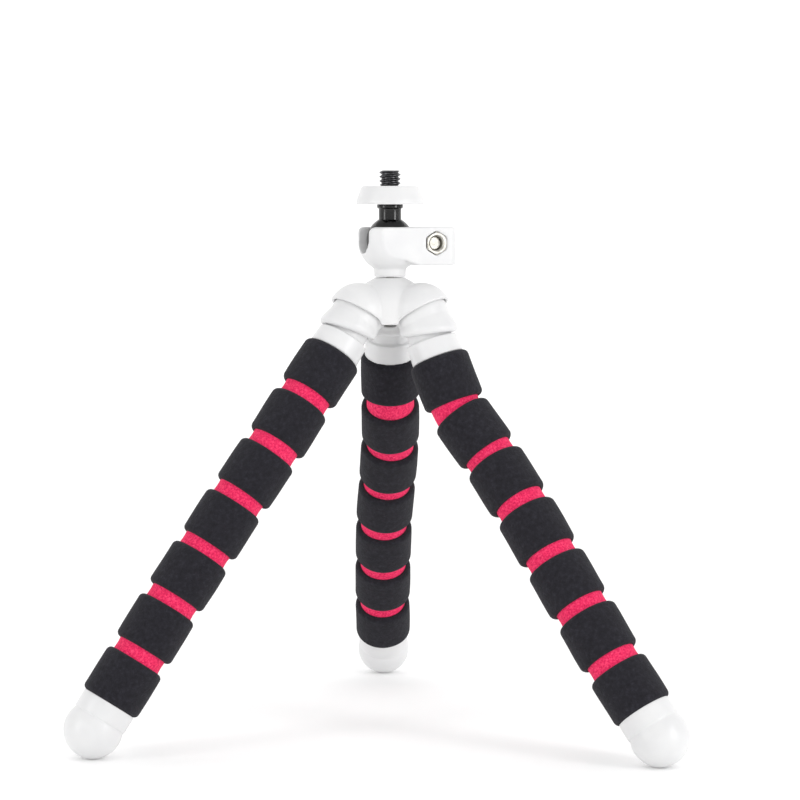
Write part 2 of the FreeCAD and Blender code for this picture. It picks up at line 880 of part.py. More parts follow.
# Leg root: a knuckle with a domed top, a slot for the lug and a slanted lower face with a lip.
def make_root(leg):
    body = new_body(f"{leg}_root")
    bottom = "3 * parting_drop"
    turn(
        body,
        [
            ("0", "root_radius", "root_radius", 1),
            ("root_radius", "0"),
            ("root_radius", "-root_straight"),
            ("0", "-root_straight"),
        ],
    )
    neck = new_sketch(body, "XY_Plane", "-root_straight")
    draw_circle(neck, "0", "0", "root_radius")
    lean = ("lip_height * sin(parting_tilt)", "0", "lip_height * cos(parting_tilt) - parting_drop")
    rim = new_sketch(body, "XY_Plane", seat_at=(*lean, AXIS_Y, "parting_tilt"))
    draw_circle(rim, "0", "0", "lip_radius")
    flare = body.newObject("PartDesign::AdditiveLoft", f"{body.Name}_flare")
    flare.Profile = neck
    flare.Sections = [rim]
    flare.Ruled = True
    doc.recompute()
    turn(
        body,
        [
            ("0", "0"),
            ("lip_radius - lip_round", "0", "lip_round", -1),
            ("lip_radius", "lip_round"),
            ("lip_radius", "lip_height"),
            ("0", "lip_height"),
        ],
        seat_at=("0", "-parting_drop", "0", -AXIS_Z, "parting_tilt"),
    )
    turn(
        body,
        [
            ("0", "slide_fit - spigot_top"),
            ("spigot_radius + running_fit", "slide_fit - spigot_top"),
            ("spigot_radius + running_fit", f"-{bottom}"),
            ("0", f"-{bottom}"),
        ],
        "Groove",
    )
    cut_lug_slot(body)
    hole = new_sketch(body, "XZ_Plane")
    draw_circle(hole, "0", "0", "pin_radius + running_fit")
    pin_room = body.newObject("PartDesign::Pocket", f"{body.Name}_pin_room")
    pin_room.Profile = hole
    pin_room.Midplane = True
    bind(pin_room, "Length", "2 * (root_radius - pin_cover)")
    doc.recompute()
    return body


def cut_lug_slot(body):
    """The slot lets the lug stay put while the root folds round it, from straight down to the full splay."""
    room = "2 * (lug_thickness / 2 + lug_clearance)"
    eye = "lug_eye_radius + lug_clearance"
    ring = new_sketch(body, "XZ_Plane")
    draw_circle(ring, "0", "0", eye)
    cut = body.newObject("PartDesign::Pocket", f"{body.Name}_eye_room")
    cut.Profile = ring
    cut.Midplane = True
    bind(cut, "Length", room)
    doc.recompute()
    wedge = new_sketch(body, "XZ_Plane")
    inner = "(pin_circle_radius - key_radius)"
    lug_top = "(core_top + key_height + lug_clearance)"
    swing_sin, swing_cos = "sin(fold_travel)", "cos(fold_travel)"
    shoulder = "(pin_circle_radius - core_top)"
    far_across = f"({shoulder} * {swing_cos} - {lug_top} * {swing_sin})"
    far_up = f"({shoulder} * {swing_sin} + {lug_top} * {swing_cos})"
    draw_outline(
        wedge,
        [
            ("0", f"-({eye})"),
            (f"({eye}) * {swing_sin}", f"({eye}) * {swing_cos}"),
            (f"-{far_across}", far_up),
            ("-2 * root_radius", f"{far_up} + root_radius"),
            ("-2 * root_radius", "-lug_low - lug_clearance"),
            (f"-{inner}", "-lug_low - lug_clearance"),
        ],
    )
    cut = body.newObject("PartDesign::Pocket", f"{body.Name}_lug_room")
    cut.Profile = wedge
    cut.Midplane = True
    bind(cut, "Length", room)
    doc.recompute()


# Outline corners of a ball on a neck, and of the socket that holds the next ball.
def ball_corners():
    return [
        ("0", "link_ball_radius", "link_ball_radius", 1),
        ("link_neck_radius", "-sqrt(link_ball_radius^2 - link_neck_radius^2)"),
        ("link_neck_radius", "-link_neck_length"),
        ("socket_radius", "-link_neck_length - link_flare"),
    ]


def socket_corners(centre):
    """From the outside wall round the mouth and up the cavity. centre is a formula of the drop."""
    cavity = "(link_ball_radius + ball_fit)"
    return [
        ("socket_radius", f"-({centre}) - socket_mouth"),
        (f"sqrt({cavity}^2 - socket_mouth^2)", f"-({centre}) - socket_mouth", cavity, -1),
        ("0", f"{cavity} - ({centre})"),
    ]


def make_link(leg, number):
    """One link of the bendable core: a ball above, a socket below."""
    body = new_body(f"{leg}_link_{number}")
    turn(body, ball_corners() + socket_corners("ring_length + groove_width"))
    return body


def make_collar(leg):
    """The cap at the top of the foam, the spigot into the root and the first socket, in one piece."""
    body = new_body(f"{leg}_collar")
    first = "foam_start + ring_length + groove_width / 2"
    turn(
        body,
        [
            ("0", "-spigot_top"),
            ("collar_top_radius", "-spigot_top"),
            ("collar_top_radius", "-2 * spigot_top"),
            ("collar_radius", "-foam_start"),
            ("socket_radius", "-foam_start"),
        ]
        + socket_corners(first),
    )
    tilt = "tan(parting_tilt - parting_wedge)"
    top = f"- parting_drop - collar_top_radius * (tan(parting_tilt) - {tilt}) - parting_gap"
    above = new_sketch(body, "XZ_Plane")
    draw_outline(
        above,
        [
            ("-2 * lip_radius", f"2 * lip_radius * {tilt} {top}"),
            ("2 * lip_radius", f"-2 * lip_radius * {tilt} {top}"),
            ("2 * lip_radius", "2 * lip_radius"),
            ("-2 * lip_radius", "2 * lip_radius"),
        ],
    )
    pocket(body, above)
    turn(
        body,
        [
            ("0", "-spigot_top"),
            ("spigot_radius", "-spigot_top"),
            ("spigot_radius", "-foam_start"),
            ("0", "-foam_start"),
        ],
    )
    return body


def make_ring(leg, number):
    """A black foam ring with rounded edges, its own origin in the middle of its top face."""
    body = new_body(f"{leg}_ring_{number}")
    bore = "sleeve_radius + slide_fit"
    turn(
        body,
        [
            (bore, "-ring_length"),
            ("foam_radius - foam_rounding", "-ring_length", "foam_rounding", -1),
            ("foam_radius", "foam_rounding - ring_length"),
            ("foam_radius", "-foam_rounding", "foam_rounding", -1),
            ("foam_radius - foam_rounding", "0"),
            (bore, "0"),
        ],
    )
    return body


def make_foot(leg):
    """The rounded foot, with the stem and the last ball of the core."""
    body = new_body(f"{leg}_foot")
    end = "(ring_length + groove_width / 2)"
    waist = f"(-{end} - foot_neck_length - foot_waist_length)"
    ball = f"(-{end} - foot_ball_drop)"
    turn(
        body,
        ball_corners()
        + [
            ("socket_radius", f"-{end}"),
            ("foot_neck_radius", f"-{end}"),
            ("foot_neck_radius", f"-{end} - foot_neck_length"),
            ("foot_waist_radius", waist),
            (
                "foot_waist_radius",
                f"{ball} + sqrt(foot_radius^2 - foot_waist_radius^2)",
                "foot_radius",
                1,
            ),
            ("0", f"{ball} - foot_radius"),
        ],
    )
    return body


def make_sleeve(leg, chain):
    """The red inner foam: a tube with mitred corners that follows the leg through its bends."""
    tip = moved(0, 0, joint_drops[-1] - foam_end + value("sleeve_end_gap"))
    top = Vector(0, 0, -value("foam_start + sleeve_end_gap"))
    corners = [place.Base for place, groove in zip(chain[1:], range(1, RING_COUNT)) if value(f"{leg}_{groove}")]
    path = Part.makePolygon([top] + corners + [(chain[-1] * tip).Base])
    solids = []
    for radius in (value("sleeve_radius"), value("sleeve_radius - sleeve_wall")):
        section = Part.Wire(Part.makeCircle(radius, top, corners[0] - top))
        solids.append(path.makePipeShell([section], True, False, 1))
    sleeve = doc.addObject("Part::Feature", f"{leg}_sleeve")
    sleeve.Label = f"{leg}_sleeve"
    sleeve.Shape = solids[0].cut(solids[1])
    sleeve.Placement = hub * leg_in_hub(leg)
    pieces[f"{leg}_sleeve"] = sleeve


def make_leg(leg):
    """All sixteen pieces of one leg, set down in its rest posture."""
    base = hub * leg_in_hub(leg)
    chain = leg_chain(leg)
    make_root(leg).Placement = base
    make_collar(leg).Placement = base
    for number in range(1, RING_COUNT + 1):
        drop = value("foam_start") + ring_pitch * (number - 1)
        above = 0.0 if number == 1 else joint_drops[number - 2]
        make_ring(leg, number).Placement = base * chain[number - 1] * moved(0, 0, above - drop)
    for number in range(1, RING_COUNT - 1):
        make_link(leg, number).Placement = base * chain[number]
    make_foot(leg).Placement = base * chain[-1]
    make_sleeve(leg, chain)


make_camera_stud()
make_lock_disc()
make_ball_stem()
make_ball_clamp()
make_clamp_bolt()
make_clamp_knob()
make_clamp_nut()
make_hub_base()
make_hub_screw()
make_hinge_pins()
make_hub_crown()
for leg_name in LEG_AZIMUTH:
    make_leg(leg_name)
doc.recompute()


# Every object has to be sound before anything is written.
for thing in doc.Objects:
    if "Invalid" in thing.State or "Error" in thing.State:
        raise RuntimeError(f"{thing.Label} did not build: {thing.State}")
for label, thing in pieces.items():
    if thing.Shape.isNull() or not thing.Shape.isValid() or not thing.Shape.Solids:
        raise RuntimeError(f"{label} has no sound solid")

os.makedirs(PARTS_FOLDER, exist_ok=True)
for label, thing in pieces.items():
    thing.Shape.exportStep(os.path.join(PARTS_FOLDER, f"{label}.step"))
for leg_name in LEG_AZIMUTH:
    print(f"{leg_name}: splay {leg_splay(leg_name):.2f} degrees")
print(f"hub axis at x {hub.Base.x:.3f}, y {hub.Base.y:.3f}, pins at z {hub.Base.z:.3f}")
print(f"{len(pieces)} sub-parts written")
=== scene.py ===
# %% [markdown]
# A small camera tripod with three bendable legs
#
# The real object is a white moulded hub with a split ball clamp on top, and three legs of black foam
# rings over a red foam core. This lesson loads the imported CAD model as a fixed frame, then dresses it:
# soft foam rings, the red foam in the grooves, a true screw thread, softened mouldings and materials
# that are worked out from what each piece is made of. Blender works in metres here, and MM turns
# millimetres into metres.

# %% Load the frame
import json
import math

import bmesh
import bpy
import numpy as np
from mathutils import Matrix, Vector


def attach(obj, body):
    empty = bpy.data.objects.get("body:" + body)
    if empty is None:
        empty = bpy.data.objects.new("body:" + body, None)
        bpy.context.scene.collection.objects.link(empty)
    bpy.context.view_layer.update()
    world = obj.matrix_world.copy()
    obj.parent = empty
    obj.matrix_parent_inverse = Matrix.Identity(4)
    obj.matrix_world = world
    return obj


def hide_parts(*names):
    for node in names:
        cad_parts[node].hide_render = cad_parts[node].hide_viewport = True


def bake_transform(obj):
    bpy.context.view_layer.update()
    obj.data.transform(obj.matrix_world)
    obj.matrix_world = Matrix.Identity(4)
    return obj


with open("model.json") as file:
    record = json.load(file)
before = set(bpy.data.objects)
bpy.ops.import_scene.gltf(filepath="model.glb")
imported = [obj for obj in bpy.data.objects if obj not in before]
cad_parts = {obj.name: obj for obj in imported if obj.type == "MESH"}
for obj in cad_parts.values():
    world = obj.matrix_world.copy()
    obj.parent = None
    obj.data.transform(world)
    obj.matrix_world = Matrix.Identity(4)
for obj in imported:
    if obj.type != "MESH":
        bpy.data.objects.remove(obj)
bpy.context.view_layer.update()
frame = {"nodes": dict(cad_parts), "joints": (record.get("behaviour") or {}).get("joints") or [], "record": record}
nodes = frame["nodes"]
joints = {joint["name"]: joint for joint in frame["joints"]}
MM = 0.001

# %% [markdown]
# Every place is read from the frame's joints, so nothing has to be fitted by eye. The three fold pins
# lie on a circle round the hub's axis, and their mean is the hub's centre. Below each fold pin a leg is
# a chain of seven straight segments that meet at six groove joints. The foam of a leg starts a little
# below its pin, and rings and grooves follow each other at one pitch.

# %% Find the hub and the legs' centre lines
LEGS = ("left", "right", "rear")
RINGS = 7
FOAM_START, RING_LENGTH, GROOVE = 14.5 * MM, 14.2 * MM, 3.7 * MM
PITCH = RING_LENGTH + GROOVE


def joint_point(name):
    """Where a joint is, as an array of three numbers in metres."""
    return np.array(joints[name]["pos_m"])


def turn_about(axis, angle):
    """The matrix of a turn about a unit axis: 1 + sin(angle) K + (1 - cos(angle)) K K, where K is the
    matrix of the cross product with the axis."""
    x, y, z = axis
    cross = np.array([[0, -z, y], [z, 0, -x], [-y, x, 0]])
    return np.eye(3) + math.sin(angle) * cross + (1 - math.cos(angle)) * cross @ cross


def leg_places(leg):
    """Origin and turn of each segment: its own Z runs up the leg, its own Y along the fold pin. The
    middle of a groove's range is the straight leg, so at rest the segments differ by that much."""
    pivot, first = joint_point(f"{leg}_fold"), joint_point(f"{leg}_groove_1")
    up = (pivot - first) / np.linalg.norm(pivot - first)
    along_pin = np.array(joints[f"{leg}_fold"]["axis"])
    turn = np.column_stack([np.cross(along_pin, up), along_pin, up])
    places = [(pivot, turn)]
    for groove in range(1, RINGS):
        joint = joints[f"{leg}_groove_{groove}"]
        bend = -math.radians(sum(joint["range_deg"]) / 2)
        turn = turn_about(joint["axis"], bend) @ turn
        places.append((joint_point(joint["name"]), turn))
    return places


hub = np.mean([joint_point(f"{leg}_fold") for leg in LEGS], axis=0)
legs = {leg: leg_places(leg) for leg in LEGS}
print("hub centre in mm", np.round(hub / MM, 2))

# %% [markdown]
# The camera stands as it did for the photograph: low, level with the lock disc and about 79 cm in front
# of it, behind a long lens, so the near and far legs have almost the same scale. Placing it from the
# hub keeps the picture framed if the tripod is moved.

# %% Camera
CAMERA_OFFSET = np.array([2.99, -787.1, 35.16]) * MM
CAMERA_DOWN = 4.456
LENS, SENSOR_WIDTH, FAR_CLIP = 118.28, 36, 10


def link(data, name):
    """Puts a mesh, a light or a camera into the scene as an object of that name."""
    thing = bpy.data.objects.new(name, data)
    bpy.context.scene.collection.objects.link(thing)
    return thing


camera_data = bpy.data.cameras.new("camera")
camera_data.lens = LENS
camera_data.sensor_width = SENSOR_WIDTH
camera_data.clip_end = FAR_CLIP
camera = link(camera_data, "camera")
camera.location = hub + CAMERA_OFFSET
camera.rotation_euler = (math.radians(90 - CAMERA_DOWN), 0, 0)
bpy.context.scene.camera = camera
print("camera in mm", np.round((hub + CAMERA_OFFSET) / MM, 1), "looking down by", CAMERA_DOWN, "degrees")

# %% [markdown]
# Every new piece here is a surface: a grid of points worked out with numpy, where each point depends on
# two numbers, such as an angle and a place along a profile. One helper turns such a grid into a mesh,
# and closes it where the grid meets itself or runs into a pole.

# %% Helper: a surface from a grid of points
MERGE, SLIVER = 1e-7, 1e-8


def surface(name, points, round_u=False, round_v=False, sharp=35):
    """A mesh from points[i, j]. Rows or columns that close on themselves share their first and last edge.
    Points that fall together, as at a pole, are merged, and faces are turned to the outside."""
    rows, columns = points.shape[:2]
    index = np.arange(rows * columns).reshape(rows, columns)
    if round_u:
        index = np.vstack([index, index[:1]])
    if round_v:
        index = np.hstack([index, index[:, :1]])
    faces = np.stack([index[:-1, :-1], index[1:, :-1], index[1:, 1:], index[:-1, 1:]], axis=-1)
    mesh = bpy.data.meshes.new(name)
    mesh.from_pydata(points.reshape(-1, 3).tolist(), [], faces.reshape(-1, 4).tolist())
    work = bmesh.new()
    work.from_mesh(mesh)
    bmesh.ops.remove_doubles(work, verts=work.verts, dist=MERGE)
    bmesh.ops.dissolve_degenerate(work, edges=work.edges, dist=SLIVER)
    bmesh.ops.recalc_face_normals(work, faces=work.faces)
    work.to_mesh(mesh)
    work.free()
    mesh.shade_smooth()
    mesh.set_sharp_from_angle(angle=math.radians(sharp))
    return link(mesh, name)


# %% [markdown]
# The studio is a white light table that curves up behind the tripod, so there is no edge between floor
# and wall. Two tall soft boxes stand in front, well out to the left and right, and a wide one hangs
# above and a little behind. On the round black neck the two leave pale upright lines with a dark
# middle, and on the white mouldings they keep every side readable. The air is bright too, as it is
# between white walls.

# %% Studio
SWEEP_WIDTH, SWEEP_FRONT, SWEEP_BEND = 30.0, -15.0, 1.2
SWEEP_RADIUS, SWEEP_TOP, SWEEP_STEPS = 1.0, 3.0, 25
AIM_HEIGHT, AIR_BRIGHTNESS = 0.09, 0.84
PLAIN_WHITE = (1, 1, 1, 1)


def studio_sweep():
    """A floor that curves up into a wall: along the path the height is zero, a quarter circle, a line."""
    across = np.array([-0.5, 0.0, 0.5]) * SWEEP_WIDTH
    bend = np.linspace(0, math.pi / 2, SWEEP_STEPS)
    run, rise = SWEEP_RADIUS * np.sin(bend), SWEEP_RADIUS * (1 - np.cos(bend))
    depth = np.concatenate([[SWEEP_FRONT], SWEEP_BEND + run, [SWEEP_BEND + SWEEP_RADIUS]])
    height = np.concatenate([[0.0], rise, [SWEEP_TOP]])
    grid = np.empty((len(depth), len(across), 3))
    grid[..., 0] = across
    grid[..., 1] = depth[:, None]
    grid[..., 2] = height[:, None]
    return surface("studio_sweep", grid)


def soft_box(name, azimuth, height, distance, size, radiance):
    """An area light whose power is radiance * pi * area, aimed at the tripod's middle.
    The azimuth is counted from the camera's side, positive to the right, in degrees."""
    aim = np.array([hub[0], hub[1], AIM_HEIGHT])
    turn = math.radians(azimuth)
    place = aim + np.array([math.sin(turn) * distance, -math.cos(turn) * distance, height])
    data = bpy.data.lights.new(name, "AREA")
    data.shape = "RECTANGLE"
    data.size, data.size_y = size
    data.energy = radiance * math.pi * size[0] * size[1]
    light = link(data, name)
    light.location = place
    light.rotation_euler = Vector(aim - place).to_track_quat("-Z", "Y").to_euler()
    print(name, "power in watts", round(data.energy, 2))


sweep = studio_sweep()
soft_box("left_box", azimuth=-58, height=0.3, distance=1.2, size=(0.28, 0.75), radiance=4.6)
soft_box("right_box", azimuth=54, height=0.32, distance=1.2, size=(0.3, 0.75), radiance=7.4)
soft_box("top_box", azimuth=180, height=1.2, distance=0.4, size=(1.0, 0.6), radiance=0.8)
world = bpy.data.worlds.new("studio_air")
world.use_nodes = True
air = world.node_tree.nodes["Background"]
air.inputs["Color"].default_value = PLAIN_WHITE
air.inputs["Strength"].default_value = AIR_BRIGHTNESS
bpy.context.scene.world = world
bpy.context.scene.view_settings.view_transform = "Standard"

# %% [markdown]
# Materials start from what the real surface is and how it was made. Each is a Principled shader with a
# few procedural nodes in front of it. Colours are written as sRGB hex values and turned to linear once.
# Almost every hard finish here varies in the same way, by soft patches that are a little duller than
# their surroundings, so one helper makes such patches from their real size.

# %% Material helpers


def linear(hex_colour, alpha=1.0):
    """sRGB hex to linear: low values are divided by 12.92, the rest follow the 2.4 power curve."""
    parts = np.array([int(hex_colour[i : i + 2], 16) / 255 for i in (1, 3, 5)])
    curve = np.where(parts <= 0.04045, parts / 12.92, ((parts + 0.055) / 1.055) ** 2.4)
    return (*curve.tolist(), alpha)


def add_node(tree, kind, settings=None, inputs=None):
    """Adds a node, sets its properties and its inputs: a value, or the output socket that feeds it.
    The setting "stops" is for a colour ramp, which starts with two: (position, hex colour) pairs."""
    node = tree.nodes.new(kind)
    settings = dict(settings or {})
    for number, (position, colour) in enumerate(settings.pop("stops", [])):
        elements = node.color_ramp.elements
        stop = elements[number] if number < 2 else elements.new(position)
        stop.position, stop.color = position, linear(colour)
    for name, value in settings.items():
        setattr(node, name, value)
    for name, value in (inputs or {}).items():
        if isinstance(value, bpy.types.NodeSocket):
            tree.links.new(value, node.inputs[name])
        else:
            node.inputs[name].default_value = value
    return node


def start_material(name, **shader_values):
    """A new material: its node tree, its shader and the object coordinates in metres."""
    material = bpy.data.materials.new(name)
    material.use_nodes = True
    tree = material.node_tree
    shader = tree.nodes["Principled BSDF"]
    for socket, value in shader_values.items():
        shader.inputs[socket.replace("_", " ")].default_value = value
    place = add_node(tree, "ShaderNodeTexCoord").outputs["Object"]
    return material, tree, shader, place


def per_mm(size_mm):
    """The texture scale that gives one cell of a pattern this many millimetres."""
    return 1000.0 / size_mm


def patchy(tree, shader, place, size_mm, detail, roughness, stops=None, span=(0.0, 1.0)):
    """Soft patches of a real size. Their strength, taken over the span, runs the roughness from the first
    of its two values to the second, and stops, where they are given, run the colour along with it."""
    patches = add_node(
        tree, "ShaderNodeTexNoise", inputs={"Vector": place, "Scale": per_mm(size_mm), "Detail": detail}
    ).outputs["Fac"]
    if stops:
        shade = add_node(tree, "ShaderNodeValToRGB", {"stops": stops}, {"Fac": patches})
        tree.links.new(shade.outputs["Color"], shader.inputs["Base Color"])
    limits = {"From Min": span[0], "From Max": span[1], "To Min": roughness[0], "To Max": roughness[1]}
    gloss = add_node(tree, "ShaderNodeMapRange", inputs={"Value": patches, **limits})
    tree.links.new(gloss.outputs["Result"], shader.inputs["Roughness"])


# %% [markdown]
# Moulded ABS. The hub, clamp, disc and feet are one white, slightly glossy plastic. A mould gives it a
# very fine even texture and almost no colour change, so the patches, about 9 mm wide, only move
# brightness by a hair and break up the gloss. The mould's grain is drawn at 0.5 mm, some five times its
# real size, because finer grain would not show.

# %% White ABS


def white_abs():
    """Patches in colour and gloss, and a bump of fine grain."""
    material, tree, shader, place = start_material("white_moulded_abs", IOR=1.53)
    patchy(
        tree,
        shader,
        place,
        size_mm=9,
        detail=3.0,
        roughness=(0.3, 0.4),
        stops=[(0.3, "#D8D8D9"), (0.7, "#DEDEDE")],
        span=(0.3, 0.7),
    )
    grain = add_node(
        tree, "ShaderNodeTexNoise", inputs={"Vector": place, "Scale": per_mm(0.5), "Detail": 2.0}
    )
    bump = add_node(
        tree,
        "ShaderNodeBump",
        inputs={"Height": grain.outputs["Fac"], "Strength": 0.08, "Distance": 0.05 * MM},
    )
    tree.links.new(bump.outputs["Normal"], shader.inputs["Normal"])
    return material


# %% [markdown]
# Closed-cell EVA foam. The black grip rings are cut from foam tube, so their skin is a felt of tiny
# open pores with slightly paler and darker patches. The red foam between them is the same kind of
# material in a brighter, finer grade. Real pores are about 0.1 mm, too fine to show, so they are drawn
# at three to five times that size.

# %% Foam


def foam(name, dark, middle, pale, pore_mm, patch_mm, depth_mm):
    """Colour: one rough noise over three stops. Bump height: 0.6 times the distance to the nearest pore
    centre, plus a felt noise of 2.2 pore widths."""
    material, tree, shader, place = start_material(
        name, Roughness=0.95, IOR=1.3, Sheen_Weight=0.04, Sheen_Roughness=0.6
    )
    patches = add_node(
        tree,
        "ShaderNodeTexNoise",
        inputs={"Vector": place, "Scale": per_mm(patch_mm), "Detail": 6.0, "Roughness": 0.7},
    )
    shade = add_node(
        tree,
        "ShaderNodeValToRGB",
        {"stops": [(0.32, dark), (0.72, pale), (0.52, middle)]},
        {"Fac": patches.outputs["Fac"]},
    )
    tree.links.new(shade.outputs["Color"], shader.inputs["Base Color"])
    pores = add_node(
        tree,
        "ShaderNodeTexVoronoi",
        {"feature": "SMOOTH_F1"},
        {"Vector": place, "Scale": per_mm(pore_mm), "Smoothness": 0.4},
    )
    felt = add_node(
        tree,
        "ShaderNodeTexNoise",
        inputs={"Vector": place, "Scale": per_mm(pore_mm * 2.2), "Detail": 5.0, "Roughness": 0.75},
    )
    height = add_node(
        tree,
        "ShaderNodeMath",
        {"operation": "MULTIPLY_ADD"},
        {0: pores.outputs["Distance"], 1: 0.6, 2: felt.outputs["Fac"]},
    )
    bump = add_node(
        tree,
        "ShaderNodeBump",
        inputs={"Height": height.outputs["Value"], "Strength": 0.55, "Distance": depth_mm * MM},
    )
    tree.links.new(bump.outputs["Normal"], shader.inputs["Normal"])
    return material


# %% [markdown]
# Acetal and nylon. The ball and its stem are hard black acetal, which is moulded and polished and takes
# a smooth gloss. The base and the links of the bendable core are natural, milky acetal straight from the
# mould, and the knob is black nylon: both have a plain satin skin, so one function serves the two.

# %% Acetal and nylon


def black_acetal():
    """One colour, with a thin film of 3 mm patches in the gloss."""
    material, tree, shader, place = start_material("black_acetal", IOR=1.48)
    shader.inputs["Base Color"].default_value = linear("#09090A")
    patchy(tree, shader, place, size_mm=3, detail=4.0, roughness=(0.1, 0.2))
    return material


def satin_moulding(name, colour):
    """One colour, with 1.2 mm patches in a satin gloss."""
    material, tree, shader, place = start_material(name, IOR=1.5)
    shader.inputs["Base Color"].default_value = linear(colour)
    patchy(tree, shader, place, size_mm=1.2, detail=4.0, roughness=(0.45, 0.65))
    return material


# %% [markdown]
# Steel. The nut, bolt and pins are zinc-plated steel, whose bath leaves a faint warm stain in patches of
# a millimetre or two. The camera screw is steel with a black oxide finish, dull and dark, with paler
# specks where handling has worn it.

# %% Steel


def plated_steel():
    """A bare metal whose stain moves colour and gloss together."""
    material, tree, shader, place = start_material("zinc_plated_steel", Metallic=1.0)
    stain = [(0.3, "#A6A39B"), (0.7, "#D3D1CB")]
    patchy(tree, shader, place, size_mm=1.6, detail=5.0, roughness=(0.2, 0.42), stops=stain)
    return material


def blackened_steel():
    """A metal under a thin oxide film, which keeps it from being wholly metallic."""
    material, tree, shader, place = start_material("blackened_steel", Metallic=0.85)
    wear = [(0.35, "#38383A"), (0.75, "#6E6E71")]
    patchy(tree, shader, place, size_mm=0.8, detail=5.0, roughness=(0.2, 0.38), stops=wear)
    return material


# %% [markdown]
# The light table is white acrylic, sanded dull. Its far part glows, as an acrylic sheet lit from behind
# does, so the background stays white without lighting the tripod's front. A very faint cloud, about a
# third of a metre wide, keeps it from looking computed.

# %% Light table
GLOW_NEAR, GLOW_FAR = 0.5, 1.8
GLOW_LOW, GLOW_HIGH = 0.08, 0.26
CLOUDS_PER_METRE = 3.0


def studio_white():
    """White with a faint cloud. The glow grows in a straight line with the depth behind the tripod."""
    material, tree, shader, place = start_material(
        "studio_white", Roughness=0.9, Emission_Color=PLAIN_WHITE
    )
    cloud = add_node(tree, "ShaderNodeTexNoise", inputs={"Vector": place, "Scale": CLOUDS_PER_METRE})
    shade = add_node(
        tree,
        "ShaderNodeValToRGB",
        {"stops": [(0.3, "#F9F9F9"), (0.7, "#FCFCFC")]},
        {"Fac": cloud.outputs["Fac"]},
    )
    tree.links.new(shade.outputs["Color"], shader.inputs["Base Color"])
    depth = add_node(tree, "ShaderNodeSeparateXYZ", inputs={"Vector": place}).outputs["Y"]
    limits = {"From Min": GLOW_NEAR, "From Max": GLOW_FAR, "To Min": GLOW_LOW, "To Max": GLOW_HIGH}
    glow = add_node(tree, "ShaderNodeMapRange", inputs={"Value": depth, **limits})
    tree.links.new(glow.outputs["Result"], shader.inputs["Emission Strength"])
    return material


sweep.data.materials.append(studio_white())

# %% [markdown]
# The record names a material slot for each CAD node, and each slot gets one finish. The nodes whose
# shape is already right keep their meshes and only take the finish. A new piece says in one call which
# finish it has, which body it rides on and which node it stands for.

# %% Dress the CAD nodes
grip_colours = {"dark": "#18171C", "middle": "#201F25", "pale": "#2C2B32"}
sleeve_colours = {"dark": "#C2174A", "middle": "#EE2C60", "pale": "#FF5A86"}
finishes = {
    "white_plastic": white_abs(),
    "black_stem": black_acetal(),
    "black_screw": blackened_steel(),
    "plated_steel": plated_steel(),
    "black_foam": foam("black_eva_foam", **grip_colours, pore_mm=0.45, patch_mm=1.3, depth_mm=0.25),
    "red_foam": foam("red_eva_foam", **sleeve_colours, pore_mm=0.3, patch_mm=0.6, depth_mm=0.25),
    "core_plastic": satin_moulding("natural_acetal", "#D2D0CB"),
    "knob_plastic": satin_moulding("black_nylon", "#1A1A1C"),
}
slot_of = {part["node"]: part["material_slot"] for part in frame["record"]["subparts"]}
bodies = frame["record"]["behaviour"]["bodies"]
body_of = {node: body for body, members in bodies.items() for node in members}
for name, node in nodes.items():
    node.data.materials.clear()
    node.data.materials.append(finishes[slot_of[name]])
print("finishes", len(finishes), "on", len(nodes), "nodes")


def finish_piece(piece, body, slot, node):
    """Gives a new piece its finish, the body that it rides on and the CAD node that it stands for.
    A piece that joins two bodies has no body here."""
    piece.data.materials.append(finishes[slot])
    if body:
        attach(piece, body)
    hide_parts(node)
    print(piece.name, len(piece.data.polygons), "faces, stands for", node)


# %% [markdown]
# Softened mouldings. The crown, the clamp, the leg roots and the collars are injection moulded, so no
# edge on them is sharp and inner corners are filled. Their CAD solids have the right form but crisp
# edges, so each is copied, its loose triangles are merged, a voxel remesh turns it into small even
# quads, and a few rounds of smoothing ease every edge by a few tenths of a millimetre.

# %% Soften the mouldings
VOXEL = 0.3 * MM
SEAM = 1e-6


def softened(node, rounds):
    """A copy of a CAD node: merged, remeshed at VOXEL, then each vertex is moved half way to the mean of
    its neighbours this many times."""
    mesh = nodes[node].data.copy()
    work = bmesh.new()
    work.from_mesh(mesh)
    bmesh.ops.remove_doubles(work, verts=work.verts, dist=SEAM)
    work.to_mesh(mesh)
    work.free()
    mesh.materials.clear()
    rough = link(mesh, f"{node}_rough")
    remesh = rough.modifiers.new("even_quads", "REMESH")
    remesh.mode = "VOXEL"
    remesh.voxel_size = VOXEL
    smooth = rough.modifiers.new("ease_edges", "SMOOTH")
    smooth.factor = 0.5
    smooth.iterations = rounds
    bpy.context.view_layer.update()
    done = bpy.data.meshes.new_from_object(rough.evaluated_get(bpy.context.evaluated_depsgraph_get()))
    bpy.data.objects.remove(rough)
    done.shade_smooth()
    return link(done, f"{node}_moulding")


moulding_rounds = {"hub_crown": 7, "ball_clamp": 6}
for leg in LEGS:
    moulding_rounds[f"{leg}_root"] = 5
    moulding_rounds[f"{leg}_collar"] = 5
for node, rounds in moulding_rounds.items():
    finish_piece(softened(node, rounds), body_of[node], slot_of[node], node)

# %% [markdown]
# The clamp's knob is a small ribbed nylon cap on the bolt's head, behind the ears. The photograph shows
# nothing of it above them, so its ribs are drawn in by half a millimetre. The pocket for the bolt's head
# lies nearer the axis and stays as it is.

# %% Knob
KNOB_CORE, KNOB_RADIUS, RIB_DRAW = 3.9, 5.2, 0.55


